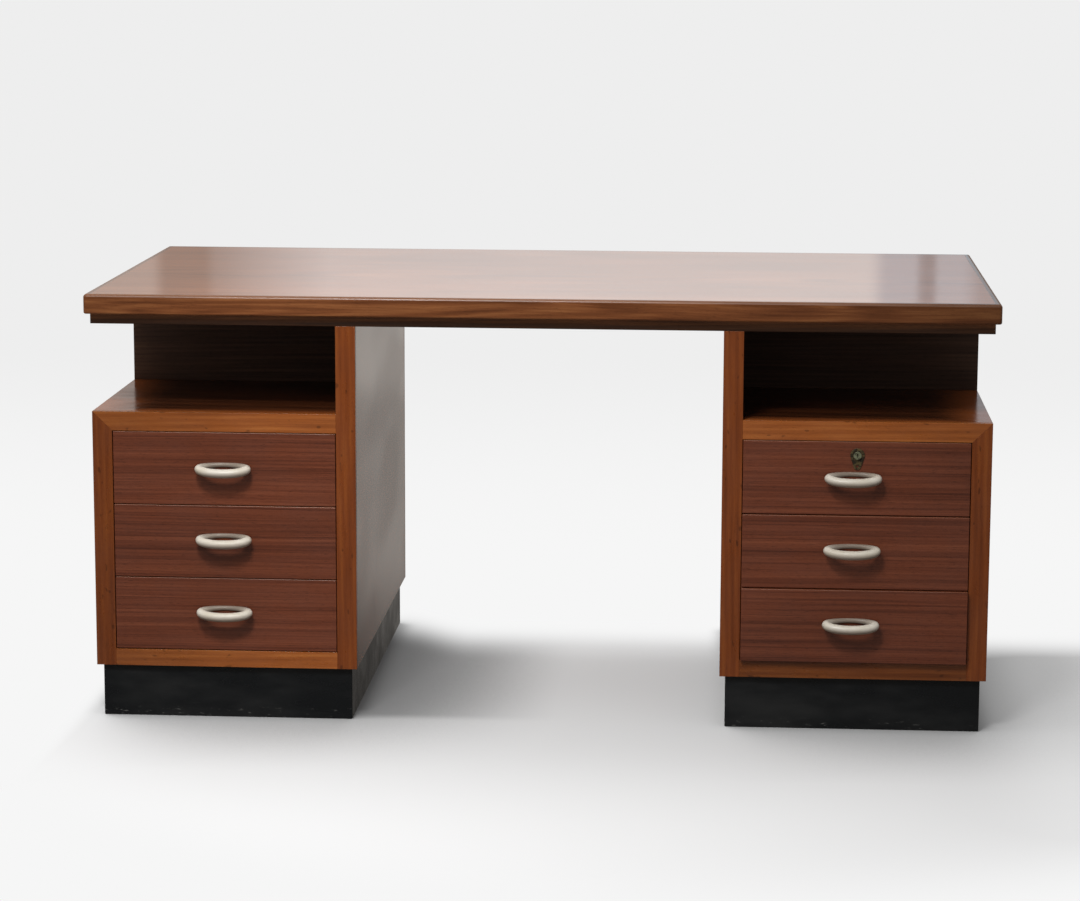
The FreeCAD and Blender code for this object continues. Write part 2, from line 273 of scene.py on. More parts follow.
    def crowding(self, full: float, **inputs: object) -> NodeSocket:
        """How far other surfaces close in on a point, from 0 in the open to 1 where little is open.

        Args:
            full: Open share of the surroundings at which the result is 1.
            inputs: Distance that is searched and, if it leans, the Normal to search about.

        Returns:
            The measure.
        """
        samples = self.SHADING_SAMPLES
        shading = self.node("ShaderNodeAmbientOcclusion", inputs, samples=samples).outputs["AO"]
        return self.spread(shading, (full, 1.0), FALLING)

    def bump(self, height: NodeSocket, strength: float, distance: float) -> NodeSocket:
        """Normal of a surface with a relief."""
        inputs = {"Strength": strength, "Distance": distance, "Height": height}
        return self.node("ShaderNodeBump", inputs).outputs["Normal"]

    def either(self, factor: NodeSocket, first: Node, second: Node) -> Node:
        """Mix of two shaders."""
        inputs = {0: factor, 1: first.outputs[0], 2: second.outputs[0]}
        return self.node("ShaderNodeMixShader", inputs)

    def surface(self, **inputs: object) -> None:
        """Finish the material with one principled shader.

        Args:
            inputs: Sockets or values by the shader's input names, with _ for a space.
        """
        named = {key.replace("_", " "): value for key, value in inputs.items()}
        shader = self.node("ShaderNodeBsdfPrincipled", named)
        self.node("ShaderNodeOutputMaterial", {"Surface": shader.outputs["BSDF"]})


def new_material(name: str) -> tuple[Material, NodeSheet]:
    """Make an empty material.

    Args:
        name: Name of the material.

    Returns:
        The material and the sheet of its node tree.
    """
    material = bpy.data.materials.new(name)
    material.use_nodes = True
    return material, NodeSheet(material.node_tree)


@dataclass(frozen=True)
class RingFigure:
    """Growth rings cut at a slant: their spacing, share in the tone, and heart of the tree."""

    spacing: float
    share: float
    heart: Triple
    tilt: Triple


@dataclass(frozen=True)
class WoodFinish:
    """Lacquered wood with growth rings, streaks, fine lines, pores and uneven gloss.

    Its tones are a dark, a middle and a light shade in display values.
    """

    name: str
    tones: tuple[Shade, Shade, Shade]
    layers: tuple[GrainLayer, ...]
    rings: RingFigure
    bend: Patch = Patch(0.45, 0.09, 1.0)
    wander: float = 0.010
    contrast: float = 0.16
    pores: Mottle = Mottle(0.012, 0.0007, 2.0, (0.56, 0.70))
    pore_depth: float = 0.45
    flecks: Mottle = Mottle(0.018, 0.009, 1.0, (0.68, 0.76))
    fleck_depth: float = 0.0
    clouds: Mottle = Mottle(0.55, 0.22, 2.0, (0.42, 0.66))
    cloud_depth: float = 0.22
    smears: Mottle = Mottle(0.11, 0.035, 4.0, (0.32, 0.68))
    gloss: float = 0.25
    gloss_spread: float = 0.12
    relief: float = 0.000008
    ior: float = 1.5

    WAVE_PERIOD = math.tau / 20
    MIDDLE = 0.5

    def tone(self, sheet: NodeSheet, grain: NodeSocket) -> NodeSocket:
        """Add up the layers and the rings.

        Args:
            sheet: Node tree to work in.
            grain: Bent coordinates with the grain along X.

        Returns:
            The tone, from dark at 0 to light at 1.
        """
        placed = sheet.placed(grain, self.rings.heart, self.rings.tilt, UNSCALED)
        inputs = {"Vector": placed, "Scale": self.WAVE_PERIOD / self.rings.spacing}
        wave = sheet.node("ShaderNodeTexWave", inputs, wave_type="RINGS", rings_direction="X")
        total = sheet.math("MULTIPLY", wave.outputs["Fac"], self.rings.share)
        for layer in self.layers:
            streaks = sheet.noise(grain, layer)
            total = sheet.math("ADD", total, sheet.math("MULTIPLY", streaks, layer.share))
        return total

    def with_painted_light(self, sheet: NodeSheet, colour: NodeSocket) -> NodeSocket:
        """Colour with painted light or shade laid on; plain finishes keep theirs."""
        return colour

    def material(self, axis: GrainAxis) -> Material:
        """Make the material for boards whose grain runs one way.

        Args:
            axis: Direction of the grain.

        Returns:
            The material.
        """
        material, sheet = new_material(f"{self.name}.{axis.name.lower()}")
        straight = sheet.grain_space(axis)
        grain = sheet.bent(straight, self.bend, self.wander)
        tone = self.tone(sheet, grain)
        places = (self.MIDDLE - self.contrast, self.MIDDLE, self.MIDDLE + self.contrast)
        colours = (shade(*written) for written in self.tones)
        colour = sheet.ramp(tone, zip(places, colours))
        colour = sheet.darkened(colour, sheet.patches(straight, self.clouds), self.cloud_depth)
        pores = sheet.patches(grain, self.pores)
        colour = sheet.darkened(colour, pores, self.pore_depth)
        colour = sheet.darkened(colour, sheet.patches(straight, self.flecks), self.fleck_depth)
        colour = self.with_painted_light(sheet, colour)
        roughness = sheet.patches(straight, self.smears, (self.gloss, self.gloss + self.gloss_spread))
        normal = sheet.bump(sheet.math("SUBTRACT", tone, pores), 1.0, self.relief)
        sheet.surface(Base_Color=colour, Roughness=roughness, Normal=normal, IOR=self.ior)
        return material


@dataclass(frozen=True)
class PaintedLightEdgeWood(WoodFinish):
    """Wood with painted light, paler along its front edge and its open end, where light falls."""

    painted_light_colour: Colour = shade(150, 80, 38)
    fading: float = 0.9
    front: float = -0.38
    outer: float = 0.79
    reach: float = 0.055
    outer_reach: float = 0.10

    def with_painted_light(self, sheet: NodeSheet, colour: NodeSocket) -> NodeSocket:
        """Colour with painted light, paler towards the front edge and the open end."""
        place = sheet.object_space()
        front_span = (self.front, self.front + self.reach)
        ahead = sheet.spread(sheet.axis(place, "Y"), front_span, (self.fading, 0.0))
        sideways = sheet.math("ABSOLUTE", sheet.axis(place, "X"))
        outer_span = (self.outer - self.outer_reach, self.outer)
        open_end = sheet.spread(sideways, outer_span, (0.0, self.fading))
        return sheet.mix(sheet.math("MAXIMUM", ahead, open_end), colour, self.painted_light_colour)


@dataclass(frozen=True)
class PaintedFalloffWood(WoodFinish):
    """Wood with painted light and shade: its tone is multiplied up or down along one axis of the desk.
    """

    drift_axis: str = "X"
    drift: Span = RISING
    painted_light_gains: Span = (1.0, 1.0)

    def with_painted_light(self, sheet: NodeSheet, colour: NodeSocket) -> NodeSocket:
        """Colour multiplied by a gain that changes from place to place: painted light and shade."""
        along = sheet.axis(sheet.object_space(), self.drift_axis)
        return sheet.mix(1.0, colour, sheet.spread(along, self.drift, self.painted_light_gains), "MULTIPLY")


@dataclass(frozen=True)
class PaintFinish:
    """Satin paint on wood, rubbed and dusty where shoes and mops reach it."""

    name: str
    coat: Colour
    rubbed: Colour
    scuff_height: float = 0.030
    specks: Mottle = Mottle(0.016, 0.004, 3.0, (0.62, 0.72))
    speck_share: float = 0.75
    haze: Mottle = Mottle(0.20, 0.07, 3.0, (0.30, 0.70))
    film_limits: Span = (0.40, 0.80)
    film_share: float = 0.10
    gloss: float = 0.22
    gloss_spread: float = 0.18
    strokes: Patch = Patch(0.060, 0.0016, 2.0)
    stroke_strength: float = 0.15
    stroke_relief: float = 0.00010

    def material(self) -> Material:
        """Make the material."""
        material, sheet = new_material(self.name)
        place = sheet.object_space()
        low_down = sheet.spread(sheet.axis(place, "Z"), (0.0, self.scuff_height), FALLING)
        specks = sheet.patches(place, self.specks, (0.0, self.speck_share))
        scuffs = sheet.math("MULTIPLY", specks, low_down)
        haze = sheet.noise(place, self.haze)
        film = sheet.spread(haze, self.film_limits, (0.0, self.film_share))
        colour = sheet.mix(sheet.math("MAXIMUM", scuffs, film), self.coat, self.rubbed)
        roughness = sheet.spread(haze, self.haze.limits, (self.gloss, self.gloss + self.gloss_spread))
        strokes = sheet.noise(place, self.strokes)
        normal = sheet.bump(strokes, self.stroke_strength, self.stroke_relief)
        sheet.surface(Base_Color=colour, Roughness=roughness, Normal=normal)
        return material


@dataclass(frozen=True)
class PlasticFinish:
    """Moulded plastic, yellowed in patches, with painted shade on faces that turn downwards and near the
    drawer face.
    """

    name: str
    fresh: Colour
    yellowed: Colour
    grime: Colour
    ageing: Mottle = Mottle(0.035, 0.020, 3.0, (0.35, 0.70))
    crazing: Mottle = Mottle(0.004, 0.0007, 2.0, (0.60, 0.75))
    crazing_depth: float = 0.10
    grime_reach: float = 0.024
    grime_full: float = 0.004
    grime_share: float = 0.80
    underside_shade_limits: Span = (-0.7, 0.75)
    underside_shade_share: float = 0.85
    gloss: float = 0.31
    gloss_spread: float = 0.15
    gloss_limits: Span = (0.30, 0.70)
    ripple_strength: float = 0.08
    ripple_relief: float = 0.0004
    ior: float = 1.46

    def material(self, face: float) -> Material:
        """Make the material.

        Args:
            face: Y of the drawer face that the plastic stands on.

        Returns:
            The material.
        """
        material, sheet = new_material(self.name)
        place = sheet.object_space()
        ageing = sheet.noise(place, self.ageing)
        colour = sheet.mix(sheet.spread(ageing, self.ageing.limits), self.fresh, self.yellowed)
        colour = sheet.darkened(colour, sheet.patches(place, self.crazing), self.crazing_depth)
        # Painted shade: darker towards the drawer face, where the back bar sits in shade, and on faces
        # that turn downwards, away from the light from above.
        shaded_span = (face - self.grime_reach, face - self.grime_full)
        near_face_shade = sheet.spread(sheet.axis(place, "Y"), shaded_span, (0.0, self.grime_share))
        outward = sheet.node("ShaderNodeNewGeometry", {}).outputs["Normal"]
        underside_shade = sheet.spread(sheet.axis(outward, "Z"), self.underside_shade_limits, (self.underside_shade_share, 0.0))
        colour = sheet.mix(sheet.math("MAXIMUM", near_face_shade, underside_shade), colour, self.grime)
        roughness = sheet.spread(ageing, self.gloss_limits, (self.gloss, self.gloss + self.gloss_spread))
        normal = sheet.bump(ageing, self.ripple_strength, self.ripple_relief)
        sheet.surface(Base_Color=colour, Roughness=roughness, Normal=normal, IOR=self.ior)
        return material


@dataclass(frozen=True)
class MetalFinish:
    """Metal with a patina in its hollows and brushed wear on top."""

    name: str
    bright: Colour
    patina: Colour
    patina_share: float
    gloss: float
    metallic: float
    blotches: Patch = Patch(0.007, 0.005, 4.0)
    bare_level: float = 0.66
    share_drop: float = 0.32
    blotch_soft: float = 0.12
    patina_gloss: float = 0.25
    scratches: Patch = Patch(0.010, 0.00035, 2.0)
    scratch_strength: float = 0.20
    scratch_relief: float = 0.00005

    def material(self) -> Material:
        """Make the material."""
        material, sheet = new_material(self.name)
        place = sheet.object_space()
        edge = self.bare_level - self.share_drop * self.patina_share
        limits = (edge - self.blotch_soft, edge + self.blotch_soft)
        dull = sheet.spread(sheet.noise(place, self.blotches), limits)
        colour = sheet.mix(dull, self.bright, self.patina)
        duller = sheet.math("MULTIPLY", dull, self.patina_gloss)
        roughness = sheet.math("ADD", duller, self.gloss)
        scratches = sheet.noise(place, self.scratches)
        normal = sheet.bump(scratches, self.scratch_strength, self.scratch_relief)
        sheet.surface(Base_Color=colour, Roughness=roughness, Normal=normal, Metallic=self.metallic)
        return material


TOP_VENEER = WoodFinish(
    name="top_veneer",
    tones=((134, 79, 48), (160, 98, 61), (177, 113, 74)),
    layers=(GrainLayer(0.60, 0.016, share=0.48), GrainLayer(0.22, 0.0032, share=0.34)),
    rings=RingFigure(spacing=0.011, share=0.18, heart=(0.0, 0.05, -0.66), tilt=(0.0, 2.2, 1.0)),
    wander=0.030,
    gloss=0.030,
    gloss_spread=0.040,
    relief=0.000002,
)
CARCASE_VENEER = WoodFinish(
    name="carcase_veneer",
    tones=((90, 47, 26), (112, 61, 34), (130, 76, 44)),
    layers=(GrainLayer(0.50, 0.008, share=0.46), GrainLayer(0.20, 0.0022, share=0.40)),
    rings=RingFigure(spacing=0.007, share=0.14, heart=(0.0, 0.09, 0.05), tilt=(0.0, 1.5, 1.5)),
    wander=0.020,
    pore_depth=0.20,
    smears=Mottle(0.16, 0.40, 1.0, (0.32, 0.68)),
    gloss=0.16,
    gloss_spread=0.07,
    relief=0.0000015,
)
TOP_EDGING = PaintedFalloffWood(
    name="top_edging",
    tones=((84, 46, 24), (112, 65, 36), (140, 89, 52)),
    layers=(GrainLayer(0.30, 0.011, share=0.52), GrainLayer(0.14, 0.0026, share=0.34)),
    rings=RingFigure(spacing=0.008, share=0.14, heart=(0.0, 0.41, -0.745), tilt=(0.0, 1.2, 1.8)),
    wander=0.030,
    contrast=0.20,
    pore_depth=0.30,
    gloss=0.09,
    gloss_spread=0.06,
    relief=0.0000006,
    # Painted shade: the slab's edge darkens towards its right end, where less light falls.
    drift=(0.25, 0.80),
    painted_light_gains=(1.0, 0.62),
)
# Painted highlight: lighter tones for the upper rounding of the slab's edge, where the light catches it.
TOP_HIGHLIGHT = replace(
    TOP_EDGING,
    name="top_rounding_highlight",
    tones=((106, 67, 45), (124, 82, 57), (140, 96, 68)),
    gloss=0.32,
    relief=0.0000004,
)
PEDESTAL_EDGING = PaintedFalloffWood(
    name="pedestal_edging",
    tones=((100, 46, 13), (116, 56, 18), (130, 68, 24)),
    layers=(GrainLayer(0.22, 0.016, share=0.56), GrainLayer(0.12, 0.0026, share=0.34)),
    rings=RingFigure(spacing=0.011, share=0.10, heart=(0.0, 0.42, 0.10), tilt=(0.0, 1.0, 1.0)),
    wander=0.012,
    contrast=0.18,
    pore_depth=0.22,
    fleck_depth=0.40,
    cloud_depth=0.08,
    gloss=0.26,
    # Painted shade: the edging darkens towards the far left, where less light falls.
    drift=(-0.75, -0.45),
    painted_light_gains=(0.77, 1.0),
)
RAIL_EDGING = replace(
    PEDESTAL_EDGING,
    name="rail_edging",
    tones=((126, 66, 24), (144, 78, 31), (160, 94, 42)),
)
# Painted shade: darker tones for the right bottom rail, for the shadow that the proud bottom drawer
# casts on it.
SHADED_EDGING = replace(
    PEDESTAL_EDGING,
    name="shaded_edging",
    tones=((90, 44, 15), (106, 55, 21), (122, 68, 28)),
)
DRAWER_VENEER = WoodFinish(
    name="drawer_veneer",
    tones=((72, 33, 19), (103, 52, 32), (122, 66, 42)),
    layers=(
        GrainLayer(1.60, 0.0090, share=0.36),
        GrainLayer(1.10, 0.0040, share=0.34),
        GrainLayer(0.50, 0.0016, share=0.30),
    ),
    rings=RingFigure(spacing=0.012, share=0.0, heart=(0.0, 0.60, 0.30), tilt=(0.0, 0.4, 0.4)),
    wander=0.006,
    contrast=0.15,
    cloud_depth=0.14,
    gloss=0.30,
)
# Painted highlight: lighter tones for the upward-facing rounding of each drawer front, where the light
# from above catches it.
DRAWER_HIGHLIGHT = replace(
    DRAWER_VENEER,
    name="drawer_edge_highlight",
    tones=((100, 56, 38), (128, 80, 56), (146, 98, 72)),
)
# Painted shade and light: tones darker than the carcase stand for the shade in the niche under the top,
# and the front edge and open end get painted light.
SHELF_LIGHT_AND_SHADE = PaintedLightEdgeWood(
    name="shelf_painted_light_and_shade",
    tones=((44, 21, 10), (62, 31, 15), (78, 42, 22)),
    layers=(GrainLayer(0.50, 0.012, share=0.50), GrainLayer(0.20, 0.0028, share=0.35)),
    rings=RingFigure(spacing=0.014, share=0.15, heart=(0.0, 0.09, 0.05), tilt=(0.0, 1.5, 1.5)),
    wander=0.020,
    gloss=0.15,
    gloss_spread=0.08,
    relief=0.000002,
    ior=1.36,
)
DARK_WOOD = WoodFinish(
    name="dark_wood",
    tones=((42, 25, 17), (58, 36, 25), (72, 46, 32)),
    layers=(GrainLayer(0.50, 0.008, share=0.50), GrainLayer(0.18, 0.0024, share=0.42)),
    rings=RingFigure(spacing=0.008, share=0.08, heart=(0.0, 0.10, 0.05), tilt=(0.0, 1.5, 1.5)),
    gloss=0.34,
)
UNDERFRAME = PaintedFalloffWood(
    name="underframe",
    tones=((48, 26, 12), (62, 35, 17), (76, 45, 23)),
    layers=DARK_WOOD.layers,
    rings=DARK_WOOD.rings,
    gloss=0.46,
    ior=1.33,
    # Painted light and shade: much lighter towards the top, against the shade under the slab's overhang,
    # and darker towards the bottom.
    drift_axis="Z",
    drift=(0.714, 0.728),
    painted_light_gains=(0.62, 4.4),
)
PARTITION = replace(
    DARK_WOOD,
    name="partition",
    tones=((66, 43, 30), (82, 55, 39), (97, 67, 48)),
    gloss=0.46,
    ior=1.40,
)
BOX_WOOD = WoodFinish(
    name="box_wood",
    tones=((160, 123, 82), (178, 141, 98), (193, 158, 115)),
    layers=(GrainLayer(0.40, 0.007, share=0.46), GrainLayer(0.14, 0.0018, share=0.44)),
    rings=RingFigure(spacing=0.006, share=0.10, heart=(0.0, 0.12, 0.07), tilt=(0.0, 1.5, 1.5)),
    pore_depth=0.20,
    gloss=0.52,
)
BLACK_PLINTH = PaintFinish("black_plinth", coat=shade(15, 17, 19), rubbed=shade(96, 95, 92))
IVORY = PlasticFinish(
    name="ivory_plastic",
    fresh=shade(214, 207, 194),
    yellowed=shade(203, 194, 177),
    # The darker colour below is painted shade for the pull's back bar and undersides.
    grime=shade(94, 75, 61),
)
AGED_BRASS = MetalFinish(
    name="aged_brass",
    bright=shade(108, 92, 60),
    patina=shade(50, 42, 29),
    patina_share=0.55,
    gloss=0.30,
    metallic=0.45,
)
WORN_BRASS = MetalFinish(
    name="worn_brass",
    bright=shade(128, 130, 104),
    patina=shade(72, 70, 52),
    patina_share=0.45,
    gloss=0.26,
    metallic=0.35,
)
STEEL = MetalFinish(
    name="steel",
    bright=shade(176, 176, 174),
    patina=shade(92, 90, 86),
    patina_share=0.25,
    gloss=0.30,
    metallic=0.90,
)


def cube(mesh: BMesh, low: Vector, high: Vector) -> list[BMVert]:
    """Add a box between two corners.

    Args:
        mesh: Mesh to add to.
        low: Lowest corner.
        high: Highest corner.

    Returns:
        The box's vertices.
    """
    size = high - low
    place = Matrix.Translation((low + high) / 2) @ Matrix.Diagonal((size.x, size.y, size.z, 1.0))
    return bmesh.ops.create_cube(mesh, size=1.0, matrix=place)["verts"]


def edges_of(verts: Iterable[BMVert]) -> list[BMEdge]:
    """Edges that join the given vertices, in a steady order."""
    found = {edge.index: edge for vert in verts for edge in vert.link_edges}
    return [found[index] for index in sorted(found)]


def right_angled(edge: BMEdge) -> bool:
    """Whether an edge is a corner between two faces."""
    return edge.is_manifold and edge.calc_face_angle(0.0) > CORNER_TURN


def level_at(edge: BMEdge, height: float) -> bool:
    """Whether an edge lies at one height."""
    return all(abs(vert.co.z - height) < NEAR for vert in edge.verts)


def bevelled(mesh: BMesh, edges: list[BMEdge], radius: float, segments: int) -> dict:
    """Round edges.

    Args:
        mesh: Mesh to work on.
        edges: Edges to round.
        radius: Size of the rounding.
        segments: Number of faces across it.

    Returns:
        The new faces, edges and verts by those words.
    """
    return bmesh.ops.bevel(mesh, geom=edges, offset=radius, segments=segments, profile=0.5,
                           affect="EDGES", material=-1, clamp_overlap=True)


def round_edges(mesh: BMesh, radius: float, segments: int,
                chosen: Callable[[BMEdge], bool]) -> list[BMFace]:
    """Round the edges that a test picks.

    Args:
        mesh: Mesh to work on.
        radius: Size of the rounding.
        segments: Number of faces across it.
        chosen: Test of an edge.

    Returns:
        The new faces.
    """
    mesh.normal_update()
    edges = [edge for edge in mesh.edges if chosen(edge)]
    return bevelled(mesh, edges, radius, segments)["faces"]


def ring_of_boards(mesh: BMesh, low: Vector, high: Vector, width: float) -> None:
    """Add four boards mitred round a rectangle, as one closed ring.

    Args:
        mesh: Empty mesh to add to.
        low: Lowest outer corner.
        high: Highest outer corner.
        width: Width of the boards seen from above.
    """
    size = high - low
    centre = (low + high) / 2
    spread_out = Matrix.Diagonal((size.x, size.y, 1.0, 1.0))
    place = Matrix.Translation((centre.x, centre.y, high.z)) @ spread_out
    bmesh.ops.create_grid(mesh, x_segments=1, y_segments=1, size=0.5, matrix=place)
    mesh.faces.ensure_lookup_table()
    middle = mesh.faces[0]
    boards = bmesh.ops.inset_region(mesh, faces=[middle], thickness=width, use_boundary=True,
                                    use_even_offset=True)["faces"]
    bmesh.ops.delete(mesh, geom=[middle], context="FACES_ONLY")
    grown = bmesh.ops.extrude_face_region(mesh, geom=boards, use_keep_orig=True)["geom"]
    lower = [item for item in grown if isinstance(item, BMVert)]
    bmesh.ops.translate(mesh, verts=lower, vec=(0.0, 0.0, -size.z))
    bmesh.ops.recalc_face_normals(mesh, faces=mesh.faces[:])


def stand(name: str, data: bpy.types.ID) -> Object:
    """Put an object with the given mesh, lamp or camera data into the scene.

    Args:
        name: Name of the object.
        data: What the object shows.

    Returns:
        The object.
    """
    made = bpy.data.objects.new(name, data)
    bpy.context.scene.collection.objects.link(made)
    return made


def even_normals(part: Object) -> None:
    """Shade large faces flat and only their roundings soft."""
    weights = part.modifiers.new("even_normals", "WEIGHTED_NORMAL")
    weights.keep_sharp = True


def filled_mesh(name: str, mesh: BMesh, materials: Iterable[Material]) -> bpy.types.Mesh:
    """Turn a bmesh into mesh data.

    Args:
        name: Name of the data.
        mesh: Finished mesh, which is freed.
        materials: Materials in the order of the faces' numbers.

    Returns:
        The mesh data.
    """
    data = bpy.data.meshes.new(name)
    mesh.to_mesh(data)
    mesh.free()
    for material in materials:
        data.materials.append(material)
    return data


def finish_piece(name: str, mesh: BMesh, materials: Iterable[Material], body: str,
                 node: str) -> Object:
    """Turn a bmesh into a piece that stands for a CAD node.

    Args:
        name: Name of the piece.
        mesh: Finished mesh, which is freed.
        materials: Materials in the order of the faces' numbers.
        body: CAD body that the piece moves with.
        node: CAD node that the piece stands for.

    Returns:
        The piece.
    """
    data = filled_mesh(name, mesh, materials)
    data.polygons.foreach_set("use_smooth", [True] * len(data.polygons))
    data.set_sharp_from_angle(angle=SHARP_TURN)
    piece = stand(name, data)
    even_normals(piece)
    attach(piece, body)
    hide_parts(node)
    LOG.info("%s: %d faces on %s", name, len(data.polygons), body)
    return piece


def dress(node: str, material: Material) -> Object:
    """Give a CAD node its finish.

    Args:
        node: Name of the node.
        material: Material for all of it.

    Returns:
        The node's object.
    """
    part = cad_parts[node]
    part.data.materials.clear()
    part.data.materials.append(material)
    LOG.info("%s: dressed with %s", node, material.name)
    return part


def soften(part: Object, radius: float, segments: int = 2) -> None:
    """Ease the sharp edges of a CAD node with modifiers.

    Args:
        part: The node's object.
        radius: Size of the easing.
        segments: Number of faces across it.
    """
    weld = part.modifiers.new("weld", "WELD")
    weld.merge_threshold = NEAR
    flats = part.modifiers.new("flats", "DECIMATE")
    flats.decimate_type = "DISSOLVE"
    flats.angle_limit = FLAT_TURN
    ease = part.modifiers.new("ease", "BEVEL")
    ease.width = radius
    ease.segments = segments
    ease.limit_method = "ANGLE"
    ease.angle_limit = EASED_TURN
    ease.use_clamp_overlap = True
    even_normals(part)


@dataclass
class DeskTop:
    """Veneered top panel, its rounded solid-wood edge and the dark frame below."""

    lip_width: float = 0.012
    edge_round: float = 0.0060
    round_steps: int = 8
    highlight_from: float = 0.25
    edge_ease: float = 0.0050
    ease_steps: int = 6
    joint_ease: float = 0.0003
    joint_steps: int = 2
    frame_ease: float = 0.0008

    LONG_STRIP = 0
    END_STRIP = 1
    HIGHLIGHT_EDGE = 2

    def build(self) -> None:
        """Build and dress every piece of the top."""
        dress("top_panel", TOP_VENEER.material(GrainAxis.ALONG_X))
        soften(dress("top_underframe", UNDERFRAME.material(GrainAxis.ALONG_X)), self.frame_ease)
        self.edging()

    def edging(self) -> None:
        """Build the edge strips as one mitred ring, with the grain along each strip."""
        low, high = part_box("top_edging")
        centre = (low + high) / 2
        half = (high - low) / 2
        mesh = bmesh.new()
        ring_of_boards(mesh, low, high, self.lip_width)
        for face in mesh.faces:
            away = face.calc_center_median() - centre
            end_strip = half.x - abs(away.x) < half.y - abs(away.y)
            face.material_index = self.END_STRIP if end_strip else self.LONG_STRIP

        def outside(edge: BMEdge) -> bool:
            """Whether an edge lies on the outer faces of the ring."""
            middle = (edge.verts[0].co + edge.verts[1].co) / 2 - centre
            reach = self.lip_width / 2
            return abs(middle.x) > half.x - reach or abs(middle.y) > half.y - reach

        def above(edge: BMEdge) -> bool:
            """Whether an edge is an outer corner above the lower edge."""
            return right_angled(edge) and outside(edge) and not level_at(edge, low.z)

        def below(edge: BMEdge) -> bool:
            """Whether an edge is an outer corner of the lower edge."""
            return right_angled(edge) and outside(edge) and level_at(edge, low.z)

        def joint(edge: BMEdge) -> bool:
            """Whether an edge is where the ring meets the panel on top."""
            return right_angled(edge) and not outside(edge) and level_at(edge, high.z)

        # Painted highlight: the upward-facing faces of the upper rounding take the lighter rounding
        # finish.
        for face in round_edges(mesh, self.edge_round, self.round_steps, above):
            if face.normal.z > self.highlight_from:
                face.material_index = self.HIGHLIGHT_EDGE
        round_edges(mesh, self.edge_ease, self.ease_steps, below)
        round_edges(mesh, self.joint_ease, self.joint_steps, joint)
        materials = [
            TOP_EDGING.material(GrainAxis.ALONG_X),
            TOP_EDGING.material(GrainAxis.ALONG_Y),
            TOP_HIGHLIGHT.material(GrainAxis.ALONG_X),
        ]
        finish_piece("top_edge_strips", mesh, materials, "desk_frame", "top_edging")


